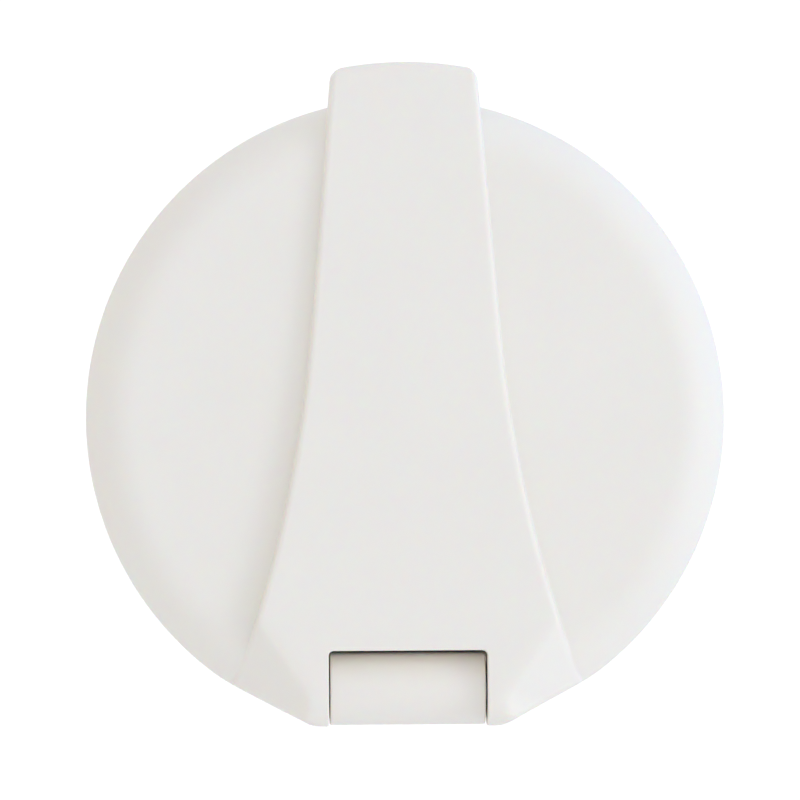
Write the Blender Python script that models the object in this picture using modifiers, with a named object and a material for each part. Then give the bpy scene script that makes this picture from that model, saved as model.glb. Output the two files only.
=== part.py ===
"""Recessed sidewall fire sprinkler head behind a round hinged cover.

Run with blender --background --python part.py. All lengths are in metres.

Every piece is drawn lying on the wall: X runs to the right, Y up the wall and Z out of the wall, with
the origin on the sprinkler's axis in the wall's surface. One empty then stands the drawing upright, so
that in the world X is right, Z is up and the front faces -Y.
"""

import math

import bmesh
import bpy
from mathutils import Matrix, Vector

GAP = 0.0003                    # left between two pieces that touch
BEYOND = 0.05                   # past every edge of the object, for cutters
FINE = 60                       # steps round the large turned pieces
COARSE = 32                     # steps round the small ones

# Cover: a shallow moulded dish
COVER_RADIUS = 0.042
COVER_WALL = 0.002
COVER_BACK = 0.005              # height of the skirt's edge above the wall
COVER_FACE = 0.0132             # height of the flat middle
RIM_ROUND = 0.0063

# Raised band down the middle of the cover, from the pull tab to the hinge
BAND_BEND = 0.0113              # above this the band's sides are straight
BAND_HALF_WIDTH = 0.0124        # at the bend
BAND_TAPER = 0.083
BAND_FLARE_RADIUS = 0.165
BAND_FACE = 0.0148              # height of the band's face at the top of the disc
BAND_SLOPE = 0.0231             # how much the face rises towards the hinge
TAB_RADIUS = 0.0469             # the tab's end is an arc about the cover's centre
TAB_BACK = 0.0113
RAISED_FRONT = 0.018            # above the band's face, before its side outline is cut
BAND_CORE_BACK = 0.010          # hollow behind the band
BAND_CORE_FRONT = 0.0129
BAND_CORE_HEIGHTS = (-0.028, -0.018, -0.008, BAND_BEND, 0.030)

# Hinge, across the bottom of the cover
HINGE_Y = -0.0356
HINGE_Z = 0.0095
KNUCKLE_RADIUS = 0.0049
KNUCKLE_HALF = 0.0102
NOTCH_HALF = 0.01042
NOTCH_TOP = -0.0311
EAR_BOTTOM = -0.0406
EAR_CORNER = 0.01305            # half the width of the cover's straight bottom edge
EAR_SIDE_TOP = -0.038           # the outline is the circle above this height, straight below it
EAR_FRONT_ROUND = 0.0035
HINGE_BLOCK_TOP = -0.0322
HINGE_BLOCK_BACK = 0.004
FACET_TILT = math.radians(39)
FACET_HEIGHT = 0.0165
FACET_START = Vector((0.01866, -0.0278))
FACET_CORNER = Vector((0.01286, -0.0367))
PIN_RADIUS = 0.00145
PIN_HALF = 0.0127
SOCKET_RADIUS = 0.00155
SOCKET_HALF = 0.0129
JOURNAL_HALF = 0.011            # the knuckle's bore, cut past both of its ends
SPRING_CHAMBER_RADIUS = 0.0037
SPRING_CHAMBER_HALF = 0.008
SPRING_RADIUS = 0.0027          # to the middle of the wire
SPRING_WIRE = 0.0004
SPRING_TURNS = 7
SPRING_COIL_HALF = 0.0045

# Base ring: flange on the wall, with a sleeve that runs through it
FLANGE_RADIUS = 0.040
FLANGE_BACK = 0.0016
FLANGE_FACE = 0.0045
FLANGE_CHAMFER = 0.0006
FLANGE_CHORD = -0.0315          # the flange's straight lower edge, clear of the turning cover
LIP_HALF = 0.0124               # thin lip of the flange behind the knuckle, clear of the ears' sweep
LIP_BACK = 0.0003
LIP_FRONT = 0.0016
LIP_TOP = -0.0319
LIP_BOTTOM = -0.0396
SLEEVE_INNER = 0.0285
SLEEVE_OUTER = 0.0303
SLEEVE_FRONT = 0.0085
SLEEVE_BACK = -0.016
GASKET_INNER = 0.0308
GASKET_OUTER = 0.0385
GASKET_HOLE = 0.0022
SEAL_INNER = 0.0288
SEAL_OUTER = 0.0302
SCREW_CIRCLE = 0.0352
SCREW_ANGLES = (45, 135, 225, 315)
SCREW_SHANK = 0.0016
SCREW_HEAD = 0.0033
SCREW_TAPER = -0.015            # where the screw's point begins
SCREW_TIP = -0.018
SINK_RADIUS = 0.0052            # countersink, 1.5 mm above the flange's face
SINK_FRONT = 0.006
SINK_BOTTOM = 0.0027
SCREW_HOLE = 0.0019

# Sprinkler
CUP_RADIUS = 0.0282
CUP_WALL = 0.0009
CUP_FRONT = 0.001
CUP_BACK = -0.0313
THREAD_RADIUS = 0.0106          # one-half inch pipe thread
THREAD_PITCH = 0.001814
THREAD_DEPTH = 0.0008
THREAD_TURNS = 8
HEX_FLATS = 0.0222
HEX_FRONT = -0.023
HEX_BACK = -0.030
BORE_RADIUS = 0.00635
BOSS_RADIUS = 0.0042
BOSS_BACK = -0.0015
BOSS_FRONT = 0.0034
LOAD_SCREW_HOLE = 0.0023
ARM_HALF = 0.0019
ARM_BEND = -0.014               # the arms are straight behind this height, curved in front of it
DEFLECTOR_RADIUS = 0.0132
DEFLECTOR_TEETH = 12
DEFLECTOR_ROOT = 0.0076
DEFLECTOR_SLOT_HALF = 0.0008
DEFLECTOR_THICKNESS = 0.0011
HOOD_HALF = 0.0085
HOOD_LOW = 0.0121
HOOD_BACK = -0.004
ARM_OUTER = 0.0126
ARM_WINDOW = 0.0092
THREAD_GAP = 0.0012             # plain neck between the boss and the first thread
THREAD_LEAD = 0.0006            # plain end past the last thread
WASHER_RADIUS = 0.0145
WASHER_THICKNESS = 0.001
NUT_FLATS = 0.027
NUT_THICKNESS = 0.0045

# Heat release that holds the cover shut
RELEASE_LOW = 0.0312
RELEASE_HIGH = 0.0353
RELEASE_HALF = 0.009
RELEASE_TABLE = 0.009           # front of the bracket's raised table
RELEASE_TABLE_HALF = 0.0044
BRACKET_FOOT = 0.0008
BRACKET_STRIP = 0.0007
RELEASE_TAB_STRIP = 0.0006
RELEASE_SCREW_X = 0.007
RELEASE_SCREW_Y = 0.0333
SMALL_HOLE = 0.00125            # for the four small screws, with the next values
SMALL_SHANK = 0.00095
SMALL_HEAD = 0.002
SMALL_CROWN = 0.0014
SMALL_HEAD_EDGE = 0.0006
SMALL_HEAD_HIGH = 0.0011
SOLDER_LOW = (-0.0035, 0.0326)
SOLDER_HIGH = (0.0035, 0.0350)

MATERIALS = {
    "white_plastic": ((0.86, 0.85, 0.83, 1), 0.5, 0.0),
    "cup_metal": ((0.62, 0.62, 0.60, 1), 0.45, 1.0),
    "brass": ((0.72, 0.53, 0.25, 1), 0.35, 1.0),
    "steel": ((0.60, 0.60, 0.61, 1), 0.35, 1.0),
    "copper": ((0.72, 0.41, 0.27, 1), 0.35, 1.0),
    "solder": ((0.66, 0.66, 0.68, 1), 0.5, 1.0),
    "bulb_glass": ((0.75, 0.05, 0.03, 1), 0.1, 0.0),
    "foam": ((0.16, 0.16, 0.17, 1), 0.9, 0.0),
    "fibre": ((0.55, 0.20, 0.14, 1), 0.8, 0.0),
}


def clear_scene():
    for obj in list(bpy.data.objects):
        bpy.data.objects.remove(obj, do_unlink=True)


def new_collection(name):
    collection = bpy.data.collections.new(name)
    bpy.context.scene.collection.children.link(collection)
    return collection


def make_materials():
    made = {}
    for name, (color, roughness, metallic) in MATERIALS.items():
        material = bpy.data.materials.new(name)
        material.use_nodes = True
        shader = material.node_tree.nodes["Principled BSDF"]
        shader.inputs["Base Color"].default_value = color
        shader.inputs["Roughness"].default_value = roughness
        shader.inputs["Metallic"].default_value = metallic
        made[name] = material
    return made


clear_scene()
PARTS = new_collection("fire_sprinkler_head")
CUTTERS = new_collection("cutters")
MADE = make_materials()


def new_empty(name, parent=None):
    empty = bpy.data.objects.new(name, None)
    PARTS.objects.link(empty)
    empty.parent = parent
    return empty


WALL = new_empty("wall_frame")
WALL.rotation_euler = (math.radians(90), 0, 0)
HINGE = new_empty("hinge_axis", WALL)
HINGE.location = (0, HINGE_Y, HINGE_Z)
DEPTH = new_empty("depth_slide", WALL)


# ---------------------------------------------------------------- shapes

def spread(first, last, count):
    """count values from first to last, evenly."""
    return [first + (last - first) * i / (count - 1) for i in range(count)]


def arc(centre, radius, start, end, count):
    """Points along an arc; the angles are in degrees."""
    cx, cy = centre
    return [(cx + radius * math.cos(math.radians(a)), cy + radius * math.sin(math.radians(a)))
            for a in spread(start, end, count)]


def circle(centre, radius, count=COARSE):
    return arc(centre, radius, 0, 360 - 360 / count, count)


def rectangle(half, low, high):
    return [(-half, low), (half, low), (half, high), (-half, high)]


def signed_area(outline):
    following = outline[1:] + outline[:1]
    return sum(a[0] * b[1] - b[0] * a[1] for a, b in zip(outline, following)) / 2


def add_object(name, data, parent):
    obj = bpy.data.objects.new(name, data)
    CUTTERS.objects.link(obj)
    obj.parent = parent
    obj.hide_render = True
    obj.display_type = "WIRE"
    return obj


def turned(name, profile, parent=WALL, steps=COARSE):
    """A turned shape about its own Z: (radius, height) points, from axis to axis or right round."""
    if signed_area(profile) > 0:
        profile = profile[::-1]
    on_axis = profile[0][0] == 0 and profile[-1][0] == 0
    count = len(profile)
    edges = [(i, (i + 1) % count) for i in range(count - 1 if on_axis else count)]
    mesh = bpy.data.meshes.new(name)
    mesh.from_pydata([(radius, 0, height) for radius, height in profile], edges, [])
    obj = add_object(name, mesh, parent)
    turn = obj.modifiers.new("Turn", "SCREW")
    turn.steps = steps
    turn.render_steps = steps
    turn.use_merge_vertices = True
    turn.merge_threshold = 0.00001
    return obj


def plate(name, outlines, low, high, parent=WALL):
    """A flat shape in the XY plane from height low to high; outlines after the first are holes."""
    curve = bpy.data.curves.new(name, "CURVE")
    curve.dimensions = "2D"
    curve.fill_mode = "BOTH"
    curve.extrude = (high - low) / 2
    for outline in outlines:
        spline = curve.splines.new("POLY")
        spline.points.add(len(outline) - 1)
        for point, (x, y) in zip(spline.points, outline):
            point.co = (x, y, 0, 1)
        spline.use_cyclic_u = True
    flat = bpy.data.objects.new(name, curve)
    bpy.context.scene.collection.objects.link(flat)
    mesh = mesh_from(flat)
    obj = add_object(name, mesh, parent)
    obj.location.z = (low + high) / 2
    return obj


def side_plate(name, outline, half, parent=WALL):
    """A flat shape standing in the vertical plane through the axis: (height, y) points."""
    obj = plate(name, [outline], -half, half, parent)
    obj.location.z = 0
    obj.rotation_euler = (0, math.radians(-90), 0)
    return obj


def mesh_from(obj):
    """The evaluated curve as one closed mesh; the curve's object is removed."""
    bpy.context.view_layer.update()
    evaluated = obj.evaluated_get(bpy.context.evaluated_depsgraph_get())
    mesh = bpy.data.meshes.new_from_object(evaluated)
    bpy.data.objects.remove(obj, do_unlink=True)
    work = bmesh.new()
    work.from_mesh(mesh)
    bmesh.ops.remove_doubles(work, verts=work.verts, dist=0.000001)
    bmesh.ops.recalc_face_normals(work, faces=work.faces)
    work.to_mesh(mesh)
    work.free()
    return mesh


def rod(name, radius, low, high, parent=WALL, steps=COARSE):
    return turned(name, [(0, low), (radius, low), (radius, high), (0, high)], parent, steps)


def box(name, low, high, parent=WALL):
    """A box between two corners, with its size in its mesh."""
    mesh = bpy.data.meshes.new(name)
    work = bmesh.new()
    bmesh.ops.create_cube(work, size=1)
    size = Vector(high) - Vector(low)
    work.transform(Matrix.Diagonal((size.x, size.y, size.z, 1)))
    work.to_mesh(mesh)
    work.free()
    obj = add_object(name, mesh, parent)
    obj.location = (Vector(low) + Vector(high)) / 2
    return obj


def combine(obj, other, operation):
    boolean = obj.modifiers.new(other.name, "BOOLEAN")
    boolean.operation = operation
    boolean.solver = "EXACT"
    boolean.object = other


def join(obj, *others):
    for other in others:
        combine(obj, other, "UNION")


def cut(obj, *others):
    for other in others:
        combine(obj, other, "DIFFERENCE")


def finish(obj, material):
    """Turns a shape into a real piece of the object."""
    CUTTERS.objects.unlink(obj)
    PARTS.objects.link(obj)
    obj.hide_render = False
    obj.display_type = "TEXTURED"
    obj.data.materials.clear()
    obj.data.materials.append(MADE[material])
    return obj


def ride_hinge(obj):
    """Hangs a piece on the hinge's empty without moving it."""
    obj.parent = HINGE
    obj.location -= HINGE.location
    return obj


def lay_across(obj, x=0.0, y=HINGE_Y, z=HINGE_Z):
    """Lays a turned shape's axis along X."""
    obj.rotation_euler = (0, math.radians(90), 0)
    obj.location = (x, y, z)
    return obj


# ---------------------------------------------------------------- cover

def band_half_width(y):
    below = BAND_BEND - y
    flare = max(below, 0) ** 2 / (2 * BAND_FLARE_RADIUS)
    return BAND_HALF_WIDTH + BAND_TAPER * below + flare


def rim_half_width(y):
    """Half the cover's outline in its lower half: the circle, then straight to the ear's corner."""
    if y >= EAR_SIDE_TOP:
        return math.sqrt(COVER_RADIUS ** 2 - y ** 2)
    share = (y - EAR_BOTTOM) / (EAR_SIDE_TOP - EAR_BOTTOM)
    return EAR_CORNER + share * (math.sqrt(COVER_RADIUS ** 2 - EAR_SIDE_TOP ** 2) - EAR_CORNER)


def band_face(y):
    return BAND_FACE + BAND_SLOPE * (COVER_RADIUS - y)


def mirrored(right_side):
    """A closed outline from its right side, listed upwards."""
    return right_side + [(-x, y) for x, y in reversed(right_side)]


def band_outline():
    low = [EAR_BOTTOM] + spread(EAR_SIDE_TOP, -0.035, 3)
    flare = spread(-0.034, BAND_BEND, 12)
    side = [(min(band_half_width(y), rim_half_width(y)), y) for y in low + flare]
    corner = math.degrees(math.acos(band_half_width(0.046) / TAB_RADIUS))
    return mirrored(side + arc((0, 0), TAB_RADIUS, corner, 90, 5)[:-1])


def hinge_block_outline():
    heights = [EAR_BOTTOM] + spread(EAR_SIDE_TOP, -0.035, 3) + [HINGE_BLOCK_TOP]
    return mirrored([(min(band_half_width(y), rim_half_width(y)), y) for y in heights])


def side_outline():
    """The cover seen from the side: sloping face, round nose, round back, skirt edge and tab."""
    nose = HINGE_Y - 0.0015
    back_angle = 180 + math.degrees(math.acos((HINGE_Z - COVER_BACK) / (HINGE_Y - EAR_BOTTOM)))
    outline = [(band_face(BEYOND), BEYOND), (band_face(nose), nose)]
    nose_centre = (band_face(nose) - EAR_FRONT_ROUND, EAR_BOTTOM + EAR_FRONT_ROUND)
    outline += arc(nose_centre, EAR_FRONT_ROUND, 0, -90, 6)
    outline += arc((HINGE_Z, HINGE_Y), HINGE_Y - EAR_BOTTOM, 270, back_angle, 6)
    return outline + [(COVER_BACK, BEYOND)]


def half_space(name, start, direction, outward):
    """A block whose floor is a facet: through start, falling away outwards."""
    along = Vector((direction.x, direction.y, 0)).normalized()
    out = Vector((outward.x, outward.y, 0)).normalized()
    normal = out * math.sin(FACET_TILT) + Vector((0, 0, math.cos(FACET_TILT)))
    across = normal.cross(along)
    block = box(name, (-BEYOND, -BEYOND, 0), (BEYOND, BEYOND, BEYOND))
    block.data.transform(Matrix.Translation((0, 0, BEYOND / 2)))
    axes = Matrix((along, across, normal)).transposed()
    block.matrix_local = Matrix.Translation((start.x, start.y, FACET_HEIGHT)) @ axes.to_4x4()
    return block


def facet_cutter(side):
    """What the sloping flank of one ear takes off: the space over two facets that meet at a corner."""
    start = Vector((side * FACET_START.x, FACET_START.y))
    corner = Vector((side * FACET_CORNER.x, FACET_CORNER.y))
    edge = corner - start
    outward = Vector((edge.y, -edge.x))
    if outward.x * side < 0:
        outward = -outward
    upper = half_space(f"facet_upper_{side}", corner, edge, outward)
    lower = half_space(f"facet_lower_{side}", corner, Vector((0, 1)), Vector((side, 0)))
    combine(upper, lower, "INTERSECT")
    return upper


def make_cover():
    flat_radius = COVER_RADIUS - RIM_ROUND
    inner_face = COVER_FACE - COVER_WALL
    outside = arc((flat_radius, COVER_FACE - RIM_ROUND), RIM_ROUND, 90, 0, 9)
    inside = arc((flat_radius, COVER_FACE - RIM_ROUND), RIM_ROUND - COVER_WALL, 0, 90, 6)
    skirt = [(COVER_RADIUS, COVER_BACK), (COVER_RADIUS - COVER_WALL, COVER_BACK)]
    dish = turned("cover", [(0, COVER_FACE)] + outside + skirt + inside + [(0, inner_face)], steps=FINE)

    raised = plate("raised_band", [band_outline()], TAB_BACK, RAISED_FRONT)
    join(raised, plate("hinge_block", [hinge_block_outline()], HINGE_BLOCK_BACK, RAISED_FRONT))
    cut(raised, facet_cutter(-1), facet_cutter(1))
    join(dish, raised)
    combine(dish, side_plate("side_outline", side_outline(), BEYOND), "INTERSECT")

    core = [(band_half_width(y) - COVER_WALL, y) for y in BAND_CORE_HEIGHTS]
    cut(dish, plate("band_core", [mirrored(core)], BAND_CORE_BACK, BAND_CORE_FRONT))
    cut(dish, box("notch", (-NOTCH_HALF, -BEYOND, 0), (NOTCH_HALF, NOTCH_TOP, BEYOND)))
    for side in (-1, 1):
        hole = rod(f"tab_screw_hole_{side}", SMALL_HOLE, inner_face - 0.002, COVER_FACE + 0.0001, steps=16)
        hole.location = (side * RELEASE_SCREW_X, RELEASE_SCREW_Y, 0)
        cut(dish, hole)
    cut(dish, lay_across(rod("knuckle_space", KNUCKLE_RADIUS + GAP, -NOTCH_HALF, NOTCH_HALF)))
    cut(dish, lay_across(rod("pin_sockets", SOCKET_RADIUS, -SOCKET_HALF, SOCKET_HALF)))
    ride_hinge(finish(dish, "white_plastic"))


def make_hinge_pin():
    ride_hinge(lay_across(finish(rod("hinge_pin", PIN_RADIUS, -PIN_HALF, PIN_HALF, steps=24), "steel")))


def make_cover_seal():
    low = SLEEVE_FRONT + GAP
    high = COVER_FACE - COVER_WALL - GAP
    ring = [(SEAL_OUTER, low), (SEAL_OUTER, high), (SEAL_INNER, high), (SEAL_INNER, low)]
    ride_hinge(finish(turned("cover_seal", ring, steps=48), "foam"))


# ---------------------------------------------------------------- base

def screw_places():
    return [(SCREW_CIRCLE * math.cos(math.radians(a)), SCREW_CIRCLE * math.sin(math.radians(a)))
            for a in SCREW_ANGLES]


def make_base_ring():
    ring = [(SLEEVE_OUTER, SLEEVE_FRONT), (SLEEVE_OUTER, FLANGE_FACE),
            (FLANGE_RADIUS - FLANGE_CHAMFER, FLANGE_FACE), (FLANGE_RADIUS, FLANGE_FACE - FLANGE_CHAMFER),
            (FLANGE_RADIUS, FLANGE_BACK), (SLEEVE_OUTER, FLANGE_BACK),
            (SLEEVE_OUTER, SLEEVE_BACK), (SLEEVE_INNER, SLEEVE_BACK), (SLEEVE_INNER, SLEEVE_FRONT)]
    base = turned("base_ring", ring, steps=FINE)
    cut(base, box("chord", (-BEYOND, -BEYOND, 0), (BEYOND, FLANGE_CHORD, BEYOND)))
    for number, (x, y) in enumerate(screw_places(), 1):
        sink = [(0, SINK_FRONT), (SINK_RADIUS, SINK_FRONT), (SCREW_HOLE, SINK_BOTTOM),
                (SCREW_HOLE, 0), (0, 0)]
        hole = turned(f"flange_hole_{number}", sink, steps=16)
        hole.location = (x, y, 0)
        cut(base, hole)
    for side in (-1, 1):
        hole = rod(f"bracket_hole_{side}", SMALL_HOLE, 0, 0.01, steps=16)
        hole.location = (side * RELEASE_SCREW_X, RELEASE_SCREW_Y, 0)
        cut(base, hole)
    join(base, side_plate("hinge_lip", [(LIP_BACK, LIP_TOP), (LIP_FRONT, LIP_TOP),
                                        (LIP_FRONT, LIP_BOTTOM), (LIP_BACK, LIP_BOTTOM)], LIP_HALF))
    join(base, side_plate("hinge_arm", arm_profile(), KNUCKLE_HALF - GAP))
    join(base, lay_across(rod("knuckle", KNUCKLE_RADIUS, -KNUCKLE_HALF, KNUCKLE_HALF, steps=40)))
    journal = PIN_RADIUS + 0.0001
    half_bore = [(0, JOURNAL_HALF), (journal, JOURNAL_HALF), (journal, SPRING_CHAMBER_HALF),
                 (SPRING_CHAMBER_RADIUS, SPRING_CHAMBER_HALF)]
    bore = half_bore + [(radius, -along) for radius, along in reversed(half_bore)]
    cut(base, lay_across(turned("spring_chamber", bore, steps=16)))
    finish(base, "white_plastic")


def arm_profile():
    """The arm that carries the knuckle, in (height, y): out of the flange in front and the lip behind."""
    back = FLANGE_BACK + 0.0002
    lip = LIP_BACK + 0.0005
    return [(back, -0.0291), (0.0055, -0.0294), (0.0085, -0.0315), (HINGE_Z, HINGE_Y), (0.0080, -0.0393),
            (0.0030, -0.0390), (lip, -0.0375), (lip, -0.0320), (back, -0.0318)]


def make_wall_gasket():
    rims = [circle((0, 0), radius, FINE) for radius in (GASKET_OUTER, GASKET_INNER)]
    holes = [circle(place, GASKET_HOLE, 16) for place in screw_places()]
    gasket = plate("wall_gasket", rims + holes, 0, FLANGE_BACK - GAP)
    cut(gasket, box("gasket_chord", (-BEYOND, -BEYOND, -BEYOND), (BEYOND, FLANGE_CHORD, BEYOND)))
    finish(gasket, "foam")


def make_flange_screws():
    head = FLANGE_FACE - 0.0001
    neck = head - 0.0018
    profile = [(0, head), (SCREW_HEAD, head), (SCREW_SHANK, neck), (SCREW_SHANK, SCREW_TAPER), (0, SCREW_TIP)]
    for number, (x, y) in enumerate(screw_places(), 1):
        screw = turned(f"flange_screw_{number}", profile, steps=16)
        screw.location = (x, y, 0)
        finish(screw, "steel")


def make_hinge_spring():
    """A torsion spring round the pin: close coils with one tang along the axis at each end."""
    per_turn = 10
    last = SPRING_TURNS * per_turn
    tang = SPRING_CHAMBER_HALF - GAP
    along = [-tang] + spread(-SPRING_COIL_HALF, SPRING_COIL_HALF, last + 1) + [tang]
    curve = bpy.data.curves.new("hinge_spring", "CURVE")
    curve.dimensions = "3D"
    curve.bevel_depth = SPRING_WIRE
    curve.bevel_resolution = 2
    curve.use_fill_caps = True
    spline = curve.splines.new("POLY")
    spline.points.add(len(along) - 1)
    for number, point in enumerate(spline.points):
        angle = 2 * math.pi * min(max(number - 1, 0), last) / per_turn
        point.co = (along[number], SPRING_RADIUS * math.cos(angle), SPRING_RADIUS * math.sin(angle), 1)
    coil = bpy.data.objects.new("hinge_spring_curve", curve)
    bpy.context.scene.collection.objects.link(coil)
    spring = add_object("hinge_spring", mesh_from(coil), WALL)
    spring.location = (0, HINGE_Y, HINGE_Z)
    finish(spring, "steel")


# ---------------------------------------------------------------- heat release

def make_release():
    """Bracket on the base and tab on the cover, held face to face by a pad of fusible solder."""
    foot_back = FLANGE_FACE + GAP
    foot_front = foot_back + BRACKET_FOOT
    strip = rectangle(RELEASE_HALF, RELEASE_LOW, RELEASE_HIGH)
    holes = [circle((side * RELEASE_SCREW_X, RELEASE_SCREW_Y), SMALL_HOLE - 0.00005, 16) for side in (-1, 1)]
    bracket = plate("release_bracket", [strip] + holes, foot_back, foot_front)
    under = RELEASE_TABLE - BRACKET_STRIP
    behind = RELEASE_LOW + BRACKET_STRIP
    bend = [(foot_back, RELEASE_LOW), (RELEASE_TABLE, RELEASE_LOW), (RELEASE_TABLE, RELEASE_HIGH),
            (under, RELEASE_HIGH), (under, behind), (foot_back, behind)]
    join(bracket, side_plate("bracket_bend", bend, RELEASE_TABLE_HALF))
    finish(bracket, "copper")

    tab_front = COVER_FACE - COVER_WALL - GAP
    tab_back = tab_front - RELEASE_TAB_STRIP
    ride_hinge(finish(plate("release_tab", [strip] + holes, tab_back, tab_front), "copper"))
    pad = box("fusible_solder", (*SOLDER_LOW, RELEASE_TABLE + GAP), (*SOLDER_HIGH, tab_back - GAP))
    ride_hinge(finish(pad, "solder"))

    for number, side in enumerate((-1, 1), 1):
        make_small_screw(f"bracket_screw_{number}", side, foot_front + GAP, 0.002)
        ride_hinge(make_small_screw(f"tab_screw_{number}", side, tab_back - GAP, COVER_FACE - 0.0002))


def make_small_screw(name, side, seat, tip):
    """A round-headed screw on one side, from under its head to its tip, which may lie either way."""
    out = math.copysign(1, seat - tip)
    profile = [(0, seat + out * SMALL_HEAD_HIGH), (SMALL_CROWN, seat + out * SMALL_HEAD_HIGH),
               (SMALL_HEAD, seat + out * SMALL_HEAD_EDGE), (SMALL_HEAD, seat),
               (SMALL_SHANK, seat), (SMALL_SHANK, tip), (0, tip)]
    screw = turned(name, profile, steps=12)
    screw.location = (side * RELEASE_SCREW_X, RELEASE_SCREW_Y, 0)
    return finish(screw, "steel")


# ---------------------------------------------------------------- sprinkler

def make_recess_cup():
    inner = CUP_RADIUS - CUP_WALL
    floor = CUP_BACK + 0.001
    hole = THREAD_RADIUS + GAP
    ring = [(CUP_RADIUS, CUP_FRONT), (CUP_RADIUS, CUP_BACK), (hole, CUP_BACK), (hole, floor),
            (inner, floor), (inner, CUP_FRONT)]
    finish(turned("recess_cup", ring, DEPTH, FINE), "cup_metal")


def hexagon(flats):
    return arc((0, 0), flats / 2 / math.cos(math.radians(30)), 0, 300, 6)


def arm_outline():
    """The two frame arms as one loop, in (height, y), with the window between them."""
    def loop(reach, half, back):
        curve = [(ARM_BEND + reach * math.cos(math.radians(a)), half * math.sin(math.radians(a)))
                 for a in spread(-90, 90, 17)]
        return [(back, -half)] + curve + [(back, half)]
    outer = loop(BOSS_FRONT - 0.0004 - ARM_BEND, ARM_OUTER, HEX_FRONT - 0.002)
    window = loop(BOSS_BACK - ARM_BEND, ARM_WINDOW, HEX_FRONT)
    return outer, window


def make_sprinkler_frame():
    root = THREAD_RADIUS - THREAD_DEPTH
    start = HEX_BACK + 0.001
    thread = [(0, start), (root, start)]
    for turn in range(THREAD_TURNS):
        valley = HEX_BACK - THREAD_GAP - turn * THREAD_PITCH
        thread += [(root, valley), (THREAD_RADIUS, valley - THREAD_PITCH / 2)]
    valley -= THREAD_PITCH
    thread += [(root, valley), (root, valley - THREAD_LEAD), (0, valley - THREAD_LEAD)]
    frame = turned("sprinkler_frame", thread, DEPTH, COARSE)
    outer, window = arm_outline()
    arms = side_plate("frame_arms", outer, ARM_HALF, DEPTH)
    cut(arms, side_plate("frame_window", window, 0.01, DEPTH))
    join(frame, plate("wrench_boss", [hexagon(HEX_FLATS)], HEX_BACK, HEX_FRONT, DEPTH))
    join(frame, arms, rod("front_boss", BOSS_RADIUS, BOSS_BACK, BOSS_FRONT, DEPTH))
    cut(frame, rod("water_bore", BORE_RADIUS, -BEYOND, HEX_FRONT + 0.0005, DEPTH))
    cut(frame, rod("load_screw_hole", LOAD_SCREW_HOLE, -0.004, 0.006, DEPTH, 24))
    finish(frame, "brass")


def make_deflector():
    back = BOSS_FRONT + GAP
    front = back + DEFLECTOR_THICKNESS
    outline = []
    pitch = 360 / DEFLECTOR_TEETH
    rim = math.degrees(DEFLECTOR_SLOT_HALF / DEFLECTOR_RADIUS)
    foot = math.degrees(DEFLECTOR_SLOT_HALF / DEFLECTOR_ROOT)
    for tooth in range(DEFLECTOR_TEETH):
        middle = (tooth + 0.5) * pitch
        outline += arc((0, 0), DEFLECTOR_RADIUS, middle - pitch + rim, middle - rim, 5)
        outline += arc((0, 0), DEFLECTOR_ROOT, middle - foot, middle + foot, 3)
    deflector = plate("deflector", [outline, circle((0, 0), LOAD_SCREW_HOLE, 24)], back, front, DEPTH)
    hood = box("deflector_hood", (-HOOD_HALF, HOOD_LOW, HOOD_BACK),
               (HOOD_HALF, DEFLECTOR_RADIUS, front - 0.0001), DEPTH)
    join(deflector, hood)
    finish(deflector, "brass")


def make_operating_parts():
    """Load screw, glass bulb, valve cap and spring seal, from front to back."""
    screw = [(0, 0.0015), (0.001, 0.0018), (0.001, 0.0033), (0.002, 0.0033), (0.002, 0.0005),
             (0.0014, -0.0002), (0, -0.0002)]
    finish(turned("load_screw", screw, DEPTH, 24), "brass")
    tip = arc((0, -0.0018), 0.0013, 90, 20, 4)
    tail = arc((0, -0.0186), 0.0012, -20, -90, 4)
    bulb = tip + [(0.0014, -0.0026), (0.0025, -0.0044), (0.0025, -0.0164), (0.0013, -0.0178)] + tail
    bulb[0] = (0, bulb[0][1])
    bulb[-1] = (0, bulb[-1][1])
    finish(turned("glass_bulb", bulb, DEPTH, 20), "bulb_glass")
    cap = [(0, -0.0202), (0.0015, -0.0202), (0.0022, -0.0196), (0.0058, -0.0200), (0.0066, -0.0208),
           (0.0066, -0.0217), (0, -0.0217)]
    finish(turned("valve_cap", cap, DEPTH, 24), "brass")
    seal = [(0.0050, -0.0220), (0.0078, -0.02235), (0.0078, -0.0227), (0.0050, -0.0224)]
    finish(turned("spring_seal", seal, DEPTH, 24), "steel")


def make_back_fixings():
    """Sealing washer and nut, which clamp the cup on the pipe thread."""
    hole = circle((0, 0), THREAD_RADIUS + GAP)
    front = CUP_BACK - GAP
    back = front - WASHER_THICKNESS
    finish(plate("sealing_washer", [circle((0, 0), WASHER_RADIUS), hole], back, front, DEPTH), "fibre")
    front = back - GAP
    back = front - NUT_THICKNESS
    finish(plate("retaining_nut", [hexagon(NUT_FLATS), hole], back, front, DEPTH), "brass")


make_cover()
make_hinge_pin()
make_cover_seal()
make_base_ring()
make_wall_gasket()
make_flange_screws()
make_hinge_spring()
make_release()
make_recess_cup()
make_sprinkler_frame()
make_deflector()
make_operating_parts()
make_back_fixings()
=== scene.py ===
"""Looks of the fire sprinkler head: the moulded cover and base, the sprinkler inside, light and camera.

Lengths are in millimetres in the shape functions and in metres on the Blender objects. A shape function
takes x to the right, z up and out, the distance out of the wall, which is -Y. It gives a distance that
is negative inside the material.
"""

import math
from types import SimpleNamespace

import bmesh
import bpy
import numpy as np
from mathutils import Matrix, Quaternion, Vector


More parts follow.
